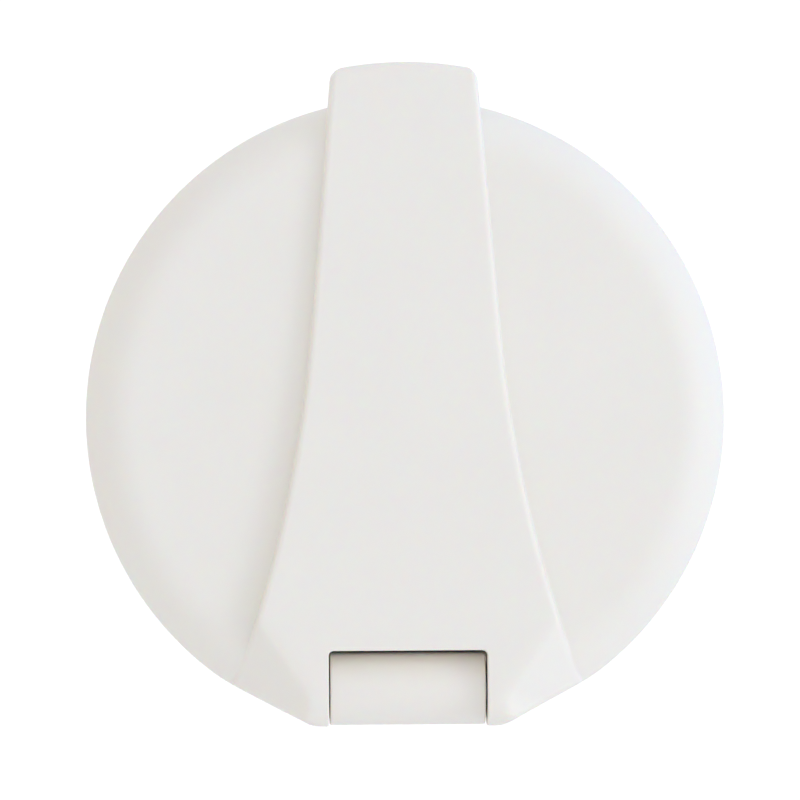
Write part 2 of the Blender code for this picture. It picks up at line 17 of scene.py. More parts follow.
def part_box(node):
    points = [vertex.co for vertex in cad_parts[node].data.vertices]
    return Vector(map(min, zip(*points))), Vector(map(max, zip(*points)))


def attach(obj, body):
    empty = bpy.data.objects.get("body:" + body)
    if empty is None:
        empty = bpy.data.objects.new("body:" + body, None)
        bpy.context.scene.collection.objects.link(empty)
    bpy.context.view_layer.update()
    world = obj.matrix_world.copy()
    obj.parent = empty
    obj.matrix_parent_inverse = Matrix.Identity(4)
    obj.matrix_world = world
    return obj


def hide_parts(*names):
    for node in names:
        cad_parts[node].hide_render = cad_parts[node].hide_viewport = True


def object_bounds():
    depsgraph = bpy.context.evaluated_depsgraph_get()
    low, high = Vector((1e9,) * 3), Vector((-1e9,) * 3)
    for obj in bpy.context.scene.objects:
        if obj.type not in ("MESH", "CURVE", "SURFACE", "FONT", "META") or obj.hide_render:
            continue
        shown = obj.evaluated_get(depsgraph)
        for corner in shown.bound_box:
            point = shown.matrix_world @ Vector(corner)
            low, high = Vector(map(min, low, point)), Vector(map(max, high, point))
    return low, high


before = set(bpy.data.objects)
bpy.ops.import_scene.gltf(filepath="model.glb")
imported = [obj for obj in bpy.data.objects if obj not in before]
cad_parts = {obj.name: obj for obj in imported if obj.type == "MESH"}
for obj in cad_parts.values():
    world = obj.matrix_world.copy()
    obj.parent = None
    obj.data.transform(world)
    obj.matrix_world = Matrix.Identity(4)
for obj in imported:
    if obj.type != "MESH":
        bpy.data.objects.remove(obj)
cad_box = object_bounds()
MM = 0.001


def span(node):
    """Where a node reaches, in millimetres."""
    low, high = (Vector(corner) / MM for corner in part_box(node))
    return SimpleNamespace(left=low.x, right=high.x, bottom=low.z, top=high.z, back=-high.y, front=-low.y,
                           x=(low.x + high.x) / 2, z=(low.z + high.z) / 2, out=-(low.y + high.y) / 2)


COVER = span("cover")
BASE = span("base_ring")
GASKET = span("wall_gasket")
CUP = span("recess_cup")
PIN = span("hinge_pin")
FRAME = span("sprinkler_frame")
DEFLECTOR = span("deflector")
BRACKET = span("release_bracket")
TAB = span("release_tab")
SOLDER = span("fusible_solder")
HINGE_OUT = PIN.out
HINGE_UP = PIN.z

# Cover
COVER_RADIUS = COVER.right
COVER_BACK = COVER.back
COVER_FACE = 13.2
COVER_WALL = 2.0
RIM_ROUND = 6.3
BAND_BEND = 11.3
BAND_HALF_WIDTH = 12.4
BAND_TAPER = 0.085
BAND_FLARE_RADIUS = 167.5
BAND_FACE = 14.8
BAND_SLOPE = 0.0231
BAND_DRAFT = 0.07
BAND_EDGE = 0.75
FOOT_FILLET = 0.2
TAB_RADIUS = COVER.top - 0.34
TAB_ROOT = 42.0
TAB_BACK = 11.3
TAB_ROUND = 1.3
NOTCH_HALF = 10.42
NOTCH_TOP = -30.72
NOTCH_CORNER = 0.66
NOTCH_EDGE = 0.2
RIB_WIDTH = 1.5
RIB_TOP = -30.5
EAR_BOTTOM = COVER.bottom - 0.23
EAR_CORNER = 12.2
EAR_SIDE_START = (23.66, -34.7)
EAR_SIDE_TOP = -36.0
EAR_ROUND = 0.6
NOSE_ROUND = 3.5
HINGE_BLOCK_TOP = -32.2
FACET_TILT = math.radians(39)
FACET_HEIGHT = 16.5
FACET_START = (18.66, -27.8)
FACET_CORNER = (12.86, -36.7)
SOFT_CREASE = 0.3
WIDE_CREASE = 0.5
OUTLINE_CREASE = 0.4
FACET_CREASE = 0.8
BACK_ROUND = 0.25
INSIDE_ROUND = 0.5
CORE_TOP = 30.0
CORE_BOTTOM = -28.0
CORE_START = 10.0
CORE_END = 12.9
SOCKET_RADIUS = 1.55
SOCKET_ROOM = 0.2
PILOT_RADIUS = 1.25
PILOT_END = 13.3
SMALL_SCREW = (7.0, 33.3)

# Where the lines of the cover's grid change their spacing
GRID_BACK = 4.2
GRID_INSIDE = 5.0
GRID_RIM = 11.2
GRID_NOTCH_TOP = -24.0
GRID_IN_BAND = 1.5
GRID_BESIDE_BAND = 2.5
GRID_PAST_RIM = 0.5

# Base. Outlines are (out, z) corners, and turned profiles are (radius, out) points.
KNUCKLE_RADIUS = 4.82
KNUCKLE_HALF = 10.2
KNUCKLE_ROUND = 0.2
KNUCKLE_ROOM = 0.3
CHAMBER_RADIUS = 3.7
CHAMBER_HALF = 8.0
ARM_HALF = KNUCKLE_HALF - 0.3
ARM_ROUND = 0.35
ARM_CARRIER = [(0.8, -31.95), (8.5, -31.5), (9.5, -35.6), (8.0, -39.3), (3.0, -39.0), (0.8, -37.5)]
ARM_ROOT = [(1.9, -29.1), (5.5, -29.4), (8.5, -31.5), (8.5, -33.0), (1.9, -33.0)]
LIP_HALF = 12.4
LIP_MIDDLE = SimpleNamespace(z=-35.75, out=0.95)
LIP_REACH = SimpleNamespace(z=3.85, out=0.65)
WEB_MIDDLE = SimpleNamespace(z=-32.2, out=1.9)
WEB_REACH = SimpleNamespace(z=1.0, out=0.4)
HINGE_STEP = 0.2
HINGE_LOW = (-12.8, -41.0, -0.1)
HINGE_HIGH = (12.8, -28.7, 14.8)
FLANGE_BACK = 1.6
FLANGE_FACE = 4.5
FLANGE_CHORD = -31.5
FLANGE_EDGE = 0.5
SLEEVE_INNER = 28.5
SLEEVE_OUTER = 30.3
SLEEVE_FRONT = 8.5
BOLT_CIRCLE = 35.2
BOLT_ANGLES = (45, 135, 225, 315)
BOLT_SINK = [(0, 7.0), (6.2, 7.0), (3.95, 4.6), (3.6, 4.25), (1.9, 2.7), (1.9, 0), (0, 0)]
BOLT_HOLE = [(0, 3), (2.2, 3), (2.2, -3), (0, -3)]
BRACKET_PILOT = [(0, 6.0), (2.6, 6.0), (1.25, 4.35), (1.25, 0), (0, 0)]
GASKET_INNER = 30.8
GASKET_EDGE = 0.3
BEYOND = 60
PIN_RADIUS = 1.45
PIN_CHAMFER = 0.3
SPRING_RADIUS = 2.7
SPRING_WIRE = 0.4
SPRING_HALF = 4.5
SPRING_TURNS = 7
SPRING_STEPS = 40

# Flange screws
BOLT_HEAD = 3.25
BOLT_HEAD_EDGE = 0.25
BOLT_HEAD_DEPTH = 1.8
BOLT_SHANK = 1.6
BOLT_ROOT = 1.15
BOLT_PITCH = 1.4
BOLT_POINT = 3.0
BOLT_CROSS = SimpleNamespace(reach=1.75, half=0.36, above=0.3, depth=1.6)

# Screws of the release
SMALL_HEAD = 2.0
SMALL_DOME = 0.75
SMALL_DOME_END = 1.4
SMALL_EDGE = 0.7
SMALL_SEAT = 1.05
SMALL_SHANK = 0.95
SMALL_ROOT = 0.72
SMALL_TIP = 0.6
SMALL_PITCH = 0.7
SMALL_CROSS = SimpleNamespace(reach=1.05, half=0.22, above=0.2, depth=0.75)

# Release
SHEET = 0.8
STRIP_CORNER = 0.5
STRIP_EDGE = 0.12
STRIP_HOLE = 1.2
TABLE_HALF = 4.4
TABLE_SHEET = 0.7
TABLE_BEND = 0.9
TABLE_BEND_INSIDE = 0.3
RELEASE_STEP = 0.13
SOLDER_INSET = 0.15
SEAL_INNER = 28.8

# Sprinkler
HEX_FLATS = 22.2
HEX_FRONT = -23.0
HEX_BACK = -30.0
BORE_RADIUS = 6.35
BORE_END = -20.0
THREAD_RADIUS = 10.6
THREAD_ROOT = THREAD_RADIUS - 0.85
THREAD_PITCH = 1.814
THREAD_START = HEX_BACK - 0.9
NECK_INSIDE = 8.9
PIPE_MOUTH = 7.2
PIPE_BORE = 6.6
ARM_BEND = -14.0
ARM_OUTER = (12.6, 17.0)
ARM_INNER = (9.2, 12.5)
ARM_HALF_THICK = 1.9
ARM_EDGES = (0.6, 0.7)
ARM_END = 25.0
BOSS_RADIUS = 4.2
BOSS_MIDDLE = 0.95
BOSS_REACH = 2.45
BOSS_HOLE = 2.3
BOSS_HOLE_END = -6.0
FRAME_STEP = 0.3
DEFLECTOR_RADIUS = 13.2
DEFLECTOR_SLOTS = 12
DEFLECTOR_STEP = 0.22
SLOT_START = 8.4
SLOT_HALF = 0.8
PLATE_HALF = 0.55
HOOD_HALF = 8.5
HOOD_MIDDLE = 12.65
BULB_RADIUS = 2.5
BULB_WALL = 0.4
BULB_SHOULDER = 3.4
BULB_TAIL = 3.2
BUBBLE_ROOM = 3.6
SOCKET_SIZE = 1.05
SOCKET_DEPTH = 1.7
CUP_WALL = 0.9
CUP_FLOOR = 1.0
CUP_CORNER = 2.2
CUP_CORNER_INSIDE = 1.3
CUP_HOLE = THREAD_RADIUS + 0.3

# Meshes
SHARP = math.radians(35)
SHARP_WIRE = math.radians(50)
PULLS = 4
LONGEST_PULL = 0.25
FLATTEST = 0.2
ON_SKIN = 0.03
MARGIN = 0.4


# ---------------------------------------------------------------- distances

def rounded(a, b, radius):
    """The part inside both a and b, with the edge between them rounded."""
    a, b = a + radius, b + radius
    return np.minimum(np.maximum(a, b), 0) + np.hypot(np.maximum(a, 0), np.maximum(b, 0)) - radius


def filleted(a, b, radius):
    """The part inside a or b, with a fillet where they meet."""
    return -rounded(-a, -b, radius)


def softened(a, b, width):
    """Inside both a and b, with a soft crease of about this width."""
    share = np.clip(0.5 + 0.5 * (a - b) / width, 0, 1)
    return b + (a - b) * share + width * share * (1 - share)


def largest(*distances):
    """Inside all of them."""
    return np.maximum.reduce(np.broadcast_arrays(*distances))


def mould(name, distance, grid):
    """One closed skin where distance(x, z, out) is zero, on a grid whose lines may bend.

    Each grid cell that the skin passes through gets one point, at the mean of the places where the skin
    crosses the cell's edges. Each crossed edge gets one face, between the four cells round it.
    """
    points = grid.reshape(-1, 3)
    value = distance(*points.T).reshape(grid.shape[:3])
    cells = tuple(n - 1 for n in value.shape)
    total = np.zeros((*cells, 3))
    count = np.zeros(cells)
    crossings = []
    for axis in range(3):
        near = [slice(None)] * 3
        far = [slice(None)] * 3
        near[axis], far[axis] = slice(None, -1), slice(1, None)
        near, far = tuple(near), tuple(far)
        crossed = (value[near] < 0) != (value[far] < 0)
        step = np.where(crossed, value[near] - value[far], 1)
        share = np.where(crossed, value[near] / step, 0)[..., None]
        place = (grid[near] + share * (grid[far] - grid[near])) * crossed[..., None]
        others = [a for a in range(3) if a != axis]
        for first in (slice(None, -1), slice(1, None)):
            for second in (slice(None, -1), slice(1, None)):
                pick = [slice(None)] * 3
                pick[others[0]], pick[others[1]] = first, second
                total += place[tuple(pick)]
                count += crossed[tuple(pick)]
        crossings.append((axis, crossed, value[near] < 0))
    used = count > 0
    index = np.full(cells, -1)
    index[used] = np.arange(used.sum())
    skin = total[used] / count[used][:, None]
    faces = []
    for axis, crossed, inside in crossings:
        b, c = (axis + 1) % 3, (axis + 2) % 3
        corner = np.argwhere(crossed)
        inner = (corner[:, b] > 0) & (corner[:, b] < value.shape[b] - 1)
        inner &= (corner[:, c] > 0) & (corner[:, c] < value.shape[c] - 1)
        corner = corner[inner]
        outward = inside[tuple(corner.T)]
        ring = []
        for back_b, back_c in ((1, 1), (0, 1), (0, 0), (1, 0)):
            cell = corner.copy()
            cell[:, b] -= back_b
            cell[:, c] -= back_c
            ring.append(index[tuple(cell.T)])
        ring = np.stack(ring, 1)
        faces.append(np.where(outward[:, None], ring, ring[:, ::-1]))
    for _ in range(PULLS):
        slope = gradient(distance, skin)
        reach = distance(*skin.T)[:, None] * slope / np.maximum((slope ** 2).sum(1), FLATTEST)[:, None]
        skin = skin - np.clip(reach, -LONGEST_PULL, LONGEST_PULL)
    x, z, out = (skin * MM).T
    mesh = bpy.data.meshes.new(name)
    mesh.from_pydata(np.stack((x, -out, z), 1).tolist(), [], np.concatenate(faces).tolist())
    obj = add(name, mesh)
    shade_by(obj, distance)
    return obj


def shade_by(obj, distance):
    """Smooth shading that follows the distance, on the faces that lie on its surface."""
    mesh = obj.data
    mesh.shade_smooth()
    mesh.set_sharp_from_angle(angle=SHARP)
    corners = len(mesh.loops)
    normals = np.empty(corners * 3)
    mesh.corner_normals.foreach_get("vector", normals)
    normals = normals.reshape(-1, 3)
    points = np.empty(len(mesh.vertices) * 3)
    mesh.vertices.foreach_get("co", points)
    points = points.reshape(-1, 3) / MM
    points = np.stack((points[:, 0], points[:, 2], -points[:, 1]), 1)
    centres = np.empty(len(mesh.polygons) * 3)
    mesh.polygons.foreach_get("center", centres)
    centres = centres.reshape(-1, 3) / MM
    on_skin = np.abs(distance(centres[:, 0], centres[:, 2], -centres[:, 1])) < ON_SKIN
    sizes = np.empty(len(mesh.polygons), int)
    mesh.polygons.foreach_get("loop_total", sizes)
    vertex = np.empty(corners, int)
    mesh.loops.foreach_get("vertex_index", vertex)
    exact = gradient(distance, points)
    exact = np.stack((exact[:, 0], -exact[:, 2], exact[:, 1]), 1)
    exact /= np.maximum(np.linalg.norm(exact, axis=1), 1e-9)[:, None]
    chosen = np.repeat(on_skin, sizes)
    normals[chosen] = exact[vertex[chosen]]
    mesh.normals_split_custom_set(normals.tolist())


def gradient(distance, points, step=0.02):
    """How fast distance grows along each axis."""
    slopes = []
    for axis in range(3):
        shift = np.zeros(3)
        shift[axis] = step
        slopes.append((distance(*(points + shift).T) - distance(*(points - shift).T)) / (2 * step))
    return np.stack(slopes, 1)


def add(name, data):
    """A new object in the scene."""
    obj = bpy.data.objects.new(name, data)
    bpy.context.scene.collection.objects.link(obj)
    return obj


def block(low, high, step):
    """An even grid of points from corner low to corner high, each (x, z, out)."""
    lines = [np.linspace(a, b, round((b - a) / step) + 1) for a, b in zip(low, high)]
    return np.stack(np.meshgrid(*lines, indexing="ij"), -1)


def solid(name, points, faces):
    """A closed mesh from (x, z, out) points."""
    mesh = bpy.data.meshes.new(name)
    mesh.from_pydata([(x * MM, -out * MM, z * MM) for x, z, out in points], [], faces)
    work = bmesh.new()
    work.from_mesh(mesh)
    bmesh.ops.recalc_face_normals(work, faces=work.faces)
    work.to_mesh(mesh)
    work.free()
    mesh.shade_smooth()
    mesh.set_sharp_from_angle(angle=SHARP)
    return add(name, mesh)


def eased(profile, radius, count=4):
    """The profile with each corner turned into a short arc; points on the axis stay."""
    result = []
    corners = [np.array(point, float) for point in profile]
    for before, corner, after in zip(corners[-1:] + corners[:-1], corners, corners[1:] + corners[:1]):
        if corner[0] == 0:
            result.append(corner)
            continue
        back, ahead = before - corner, after - corner
        reach = min(radius, 0.45 * np.hypot(*back), 0.45 * np.hypot(*ahead))
        start = corner + back / np.hypot(*back) * reach
        end = corner + ahead / np.hypot(*ahead) * reach
        for share in np.linspace(0, 1, count):
            result.append((1 - share) ** 2 * start + 2 * share * (1 - share) * corner + share ** 2 * end)
    return result


def turned(name, profile, place=None, steps=96, grooves=None):
    """A turned piece from (radius, along) points. It closes on the axis, or right round."""
    angles = np.linspace(0, 2 * math.pi, steps, endpoint=False)
    place = place or (lambda across, up, along: (across, up, along))
    points, rings, faces = [], [], []
    for radius, along in profile:
        start = len(points)
        if radius == 0:
            points.append(place(0, 0, along))
        for angle in angles if radius > 0 else ():
            reach = radius if grooves is None else grooves(radius, along, angle)
            points.append(place(reach * math.cos(angle), reach * math.sin(angle), along))
        rings.append(range(start, len(points)))
    for low, high in zip(rings, rings[1:] + rings[:1]):
        if len(low) + len(high) > 2:
            for i in range(steps):
                j = (i + 1) % steps
                quad = (low[i % len(low)], low[j % len(low)], high[j % len(high)], high[i % len(high)])
                faces.append(list(dict.fromkeys(quad)))
    return solid(name, points, faces)


def at(x, z):
    """Places a turned piece on an axis out of the wall."""
    return lambda across, up, along: (x + across, z + up, along)


def on_hinge(across, up, along):
    """Places a turned piece on the hinge's axis."""
    return along, HINGE_UP + up, HINGE_OUT + across


def combine(obj, tool, operation):
    """Joins the tool to an object or cuts it out, and removes the tool."""
    boolean = obj.modifiers.new(tool.name, "BOOLEAN")
    boolean.operation = operation
    boolean.solver = "EXACT"
    boolean.object = tool
    bpy.context.view_layer.update()
    evaluated = obj.evaluated_get(bpy.context.evaluated_depsgraph_get())
    mesh = bpy.data.meshes.new_from_object(evaluated)
    obj.modifiers.clear()
    obj.data = mesh
    bpy.data.objects.remove(tool, do_unlink=True)
    mesh.shade_smooth()
    mesh.set_sharp_from_angle(angle=SHARP)


def box(name, low, high):
    """A box between two (x, z, out) corners."""
    pairs = list(zip(low, high))
    points = [(x, z, out) for x in pairs[0] for z in pairs[1] for out in pairs[2]]
    faces = [(0, 1, 3, 2), (4, 6, 7, 5), (0, 4, 5, 1), (2, 3, 7, 6), (0, 2, 6, 4), (1, 5, 7, 3)]
    return solid(name, points, faces)


def prism(name, points):
    """A closed solid between two rings of points, the first half of the list and the second."""
    count = len(points) // 2
    faces = [[i, (i + 1) % count, (i + 1) % count + count, i + count] for i in range(count)]
    return solid(name, points, faces + [list(range(count)), list(range(count, 2 * count))])


def recess(place, top, outward, size):
    """A cutter for a cross recess in a screw head: a plus that narrows downwards."""
    points = []
    half = size.half
    levels = ((top + outward * size.above, 1.0), (top - outward * size.depth, 0.3))
    for out, share in levels:
        tip = size.reach * share
        for ahead, aside in ((1, 0), (0, 1), (-1, 0), (0, -1)):
            for across, up in ((tip, -half), (tip, half), (half, half)):
                x = place[0] + across * ahead - up * aside
                z = place[1] + across * aside + up * ahead
                points.append((x, z, out))
    return prism("cross", points)


def steps(count, ends):
    """Fractions from 0 to 1: even, or closer together at both ends, at the start or at the end."""
    even = np.linspace(0, 1, count + 1)
    if ends == "both":
        return even - 0.8 * np.sin(2 * np.pi * even) / (2 * np.pi)
    if ends == "start":
        return even ** 1.5
    if ends == "end":
        return 1 - (1 - even) ** 1.5
    return even


def between(knots, kinds):
    """Lines through every knot, filled in between as each (count, ends) says. Knots may be arrays."""
    lines = [np.asarray(knots[0], float)]
    for start, end, (count, ends) in zip(knots, knots[1:], kinds):
        start, end = np.asarray(start, float), np.asarray(end, float)
        lines += [start + (end - start) * share for share in steps(count, ends)[1:]]
    return np.stack(lines, -1)


# ---------------------------------------------------------------- cover

def band_half_width(z):
    """The band narrows upwards and flares along an arc below its bend."""
    below = BAND_BEND - z
    return BAND_HALF_WIDTH + BAND_TAPER * below + np.maximum(below, 0) ** 2 / (2 * BAND_FLARE_RADIUS)


def band_face(z):
    """How far out the band's face is: a little more towards the hinge."""
    return BAND_FACE + BAND_SLOPE * (COVER_RADIUS - z)


def ear_side(x, z):
    """Distance to the straight side that cuts across the rim down to an ear's corner."""
    run, rise = EAR_SIDE_START[0] - EAR_CORNER, EAR_SIDE_START[1] - EAR_BOTTOM
    return ((x - EAR_CORNER) * rise - (z - EAR_BOTTOM) * run) / math.hypot(run, rise)


def outline_side(x, z):
    """Distance to the lower outline: the circle, then straight to the ear's corner."""
    circle = np.hypot(x, z) - COVER_RADIUS
    return np.maximum(ear_side(x, z), np.minimum(circle, z - EAR_SIDE_TOP))


def facets(x, z, out):
    """The two sloping flanks of an ear, which meet in a soft crease."""
    run, drop = FACET_START[0] - FACET_CORNER[0], FACET_START[1] - FACET_CORNER[1]
    length = math.hypot(run, drop)
    beyond_x, beyond_z, above = x - FACET_CORNER[0], z - FACET_CORNER[1], out - FACET_HEIGHT
    sine, cosine = math.sin(FACET_TILT), math.cos(FACET_TILT)
    upper = (beyond_x * drop - beyond_z * run) / length * sine + above * cosine
    lower = beyond_x * sine + above * cosine
    return -softened(-upper, -lower, WIDE_CREASE)


def cover_distance(x, z, out):
    """The dish with the raised band, tab and ears, hollow behind, with the notch for the barrel."""
    x = np.abs(x)
    radius = np.hypot(x, z)
    dish = rounded(radius - COVER_RADIUS, out - COVER_FACE, RIM_ROUND)

    width = band_half_width(z)
    lean = BAND_DRAFT * (COVER_FACE - out)
    turn = BAND_TAPER + np.maximum(BAND_BEND - z, 0) / BAND_FLARE_RADIUS
    side = (x - width - lean) / np.sqrt(1 + turn ** 2)
    side = softened(side, np.where(z < 0, outline_side(x, z), -COVER_RADIUS), OUTLINE_CREASE)
    front = (out - band_face(z)) / math.hypot(1, BAND_SLOPE)
    raised = rounded(side, front, BAND_EDGE)
    raised = softened(raised, facets(x, z, out), FACET_CREASE)
    raised = rounded(raised, radius - TAB_RADIUS, TAB_ROUND)
    raised = np.maximum(raised, np.minimum(TAB_BACK - out, z - HINGE_BLOCK_TOP))

    body = softened(filleted(dish, raised, FOOT_FILLET), ear_side(x, z), SOFT_CREASE)
    body = softened(body, rounded(front, EAR_BOTTOM - z, NOSE_ROUND), WIDE_CREASE)
    heel_round = HINGE_UP - EAR_BOTTOM
    heel = rounded(HINGE_OUT - heel_round - out, EAR_BOTTOM - z, heel_round)
    body = softened(body, heel, SOFT_CREASE)
    body = rounded(body, EAR_BOTTOM - z, EAR_ROUND)
    body = rounded(body, COVER_BACK - out, BACK_ROUND)

    hollow = rounded(dish + COVER_WALL, HINGE_BLOCK_TOP - z, INSIDE_ROUND)
    core = largest(x - width + COVER_WALL, z - CORE_TOP, CORE_BOTTOM - z)
    core = rounded(core, out - CORE_END, INSIDE_ROUND)
    hollow = np.minimum(hollow, np.maximum(core, CORE_START - out))
    rib = largest(NOTCH_HALF - x, x - NOTCH_HALF - RIB_WIDTH, z - RIB_TOP)
    hollow = np.maximum(hollow, -rib)
    shell = rounded(body, -hollow, BACK_ROUND)

    notch = rounded(x - NOTCH_HALF, z - NOTCH_TOP, NOTCH_CORNER)
    shell = rounded(shell, -notch, NOTCH_EDGE)
    axle = np.hypot(out - HINGE_OUT, z - HINGE_UP)
    shell = np.maximum(shell, -np.maximum(axle - KNUCKLE_RADIUS - KNUCKLE_ROOM, x - NOTCH_HALF))
    shell = np.maximum(shell, -np.maximum(axle - SOCKET_RADIUS, x - PIN.right - SOCKET_ROOM))
    pilot = np.hypot(x - SMALL_SCREW[0], z - SMALL_SCREW[1]) - PILOT_RADIUS
    return np.maximum(shell, -np.maximum(pilot, out - PILOT_END))


def cover_grid():
    """Lines that run along the band's edges, close together where the shape turns sharply."""
    heights = (EAR_BOTTOM - MARGIN, EAR_BOTTOM, NOTCH_TOP, CORE_TOP, TAB_ROOT, TAB_RADIUS,
               TAB_RADIUS + MARGIN)
    z = between(heights, ((3, "even"), (36, "both"), (92, "start"), (22, "even"), (16, "end"), (3, "even")))
    flat = np.zeros_like(z)
    width = band_half_width(z)
    notch = np.where(z < GRID_NOTCH_TOP, NOTCH_HALF, np.minimum(NOTCH_HALF, width - GRID_IN_BAND))
    x = between((flat, notch, width, width + GRID_BESIDE_BAND, flat + COVER_RADIUS + GRID_PAST_RIM),
                ((18, "end"), (20, "both"), (14, "start"), (36, "both")))
    x = np.concatenate((-x[:, :0:-1], x), 1)
    face = band_face(z)
    depths = (flat + GRID_BACK, flat + GRID_INSIDE, flat + GRID_RIM, flat + COVER_FACE, face, face + MARGIN)
    out = between(depths, ((4, "even"), (16, "both"), (14, "both"), (16, "both"), (3, "even")))
    grid = np.empty((x.shape[1], len(z), out.shape[1], 3))
    grid[..., 0] = x.T[:, :, None]
    grid[..., 1] = z[None, :, None]
    grid[..., 2] = out[None, :, :]
    return grid


# ---------------------------------------------------------------- base

def inside_corners(corners, z, out):
    """Distance to a convex outline of (out, z) corners, listed clockwise from the lowest out."""
    edges = []
    for (out0, z0), (out1, z1) in zip(corners, corners[1:] + corners[:1]):
        length = math.hypot(out1 - out0, z1 - z0)
        edges.append(((z - z0) * (out1 - out0) - (out - out0) * (z1 - z0)) / length)
    return largest(*edges)


def hinge_distance(x, z, out):
    """The barrel, the arm that carries it and the lip behind, hollow for the pin and the spring."""
    x = np.abs(x)
    axle = np.hypot(out - HINGE_OUT, z - HINGE_UP)
    barrel = rounded(axle - KNUCKLE_RADIUS, x - KNUCKLE_HALF, KNUCKLE_ROUND)
    carrier, root = inside_corners(ARM_CARRIER, z, out), inside_corners(ARM_ROOT, z, out)
    arm = rounded(filleted(carrier, root, 0.3), x - ARM_HALF, ARM_ROUND)
    lip = rounded(np.abs(z - LIP_MIDDLE.z) - LIP_REACH.z, x - LIP_HALF, 0.5)
    lip = rounded(lip, np.abs(out - LIP_MIDDLE.out) - LIP_REACH.out, 0.2)
    web = rounded(np.abs(z - WEB_MIDDLE.z) - WEB_REACH.z, x - LIP_HALF, 0.4)
    web = rounded(web, np.abs(out - WEB_MIDDLE.out) - WEB_REACH.out, 0.2)
    body = filleted(filleted(filleted(barrel, arm, 0.4), lip, 0.3), web, 0.15)
    chamber = rounded(axle - CHAMBER_RADIUS, x - CHAMBER_HALF, 0.2)
    return largest(body, -chamber, SOCKET_RADIUS - axle)


def bolt_places():
    """Centres of the four flange screws."""
    angles = [math.radians(degrees) for degrees in BOLT_ANGLES]
    return [(BOLT_CIRCLE * math.cos(angle), BOLT_CIRCLE * math.sin(angle)) for angle in angles]


def below_chord(back, front):
    """A cutter for everything under the flange's straight bottom."""
    return box("chord", (-BEYOND, -BEYOND, back), (BEYOND, FLANGE_CHORD, front))


def make_base():
    """Flange and sleeve in one turning, with its holes, joined to the hinge's arm."""
    ring = [(SLEEVE_OUTER, SLEEVE_FRONT), (SLEEVE_OUTER, FLANGE_FACE), (BASE.right, FLANGE_FACE),
            (BASE.right, FLANGE_BACK), (SLEEVE_OUTER, FLANGE_BACK), (SLEEVE_OUTER, BASE.back),
            (SLEEVE_INNER, BASE.back), (SLEEVE_INNER, SLEEVE_FRONT)]
    base = turned("base_moulding", eased(ring, FLANGE_EDGE, 5), steps=288)
    combine(base, below_chord(FLANGE_BACK - 1, 20), "DIFFERENCE")
    for x, z in bolt_places():
        combine(base, turned("sink", BOLT_SINK, at(x, z), 48), "DIFFERENCE")
    for side in (-1, 1):
        pilot = turned("pilot", BRACKET_PILOT, at(side * SMALL_SCREW[0], SMALL_SCREW[1]), 32)
        combine(base, pilot, "DIFFERENCE")
    combine(base, mould("hinge_arm", hinge_distance, block(HINGE_LOW, HINGE_HIGH, HINGE_STEP)), "UNION")
    shade_by(base, hinge_distance)
    dress(base, "base", "white_plastic", WHITE, "base_ring")


def make_gasket():
    """A foam ring between the flange and the wall."""
    edge = [(GASKET.right, GASKET.front), (GASKET.right, GASKET.back), (GASKET_INNER, GASKET.back),
            (GASKET_INNER, GASKET.front)]
    gasket = turned("gasket_ring", eased(edge, GASKET_EDGE), steps=192)
    combine(gasket, below_chord(-5, 5), "DIFFERENCE")
    for x, z in bolt_places():
        combine(gasket, turned("hole", BOLT_HOLE, at(x, z), 32), "DIFFERENCE")
    dress(gasket, "base", "foam", FOAM, "wall_gasket")


def helix(pitch, crest, root, start, end, run_out=1.0):
    """Grooves of a thread between two heights, with flat crests, which fade out at both ends."""
    def grooves(radius, along, angle):
        phase = (along / pitch - angle / (2 * math.pi)) % 1
        ridge = min(max(2.2 * abs(2 * phase - 1) - 0.6, 0), 1)
        fade = min(max((start - along) / run_out, 0), max((along - end) / run_out, 0), 1)
        return radius - fade * (1 - ridge) * (crest - root)
    return grooves


def make_bolts():
    """Four countersunk screws with cross recesses and a coarse thread."""
    screw = span("flange_screw_1")
    head, tip = screw.front, screw.back
    point = tip + BOLT_POINT
    profile = [(0, head), (BOLT_HEAD - BOLT_HEAD_EDGE, head), (BOLT_HEAD, head - 0.15)]
    profile += [(BOLT_SHANK, head - BOLT_HEAD_DEPTH)]
    profile += [(BOLT_SHANK, along) for along in np.arange(head - 2, point, -BOLT_PITCH / 7)]
    profile += [(BOLT_SHANK * (1 - share ** 1.4), point + share * (tip - point))
                for share in np.linspace(0.1, 0.9, 9)]
    profile += [(0, tip)]
    thread = helix(BOLT_PITCH, BOLT_SHANK, BOLT_ROOT, head - 2.4, tip)
    for number, place in enumerate(bolt_places(), 1):
        bolt = turned(f"countersunk_screw_{number}", profile, at(*place), 28, thread)
        combine(bolt, recess(place, head, 1, BOLT_CROSS), "DIFFERENCE")
        dress(bolt, "base", "steel", STEEL, f"flange_screw_{number}")


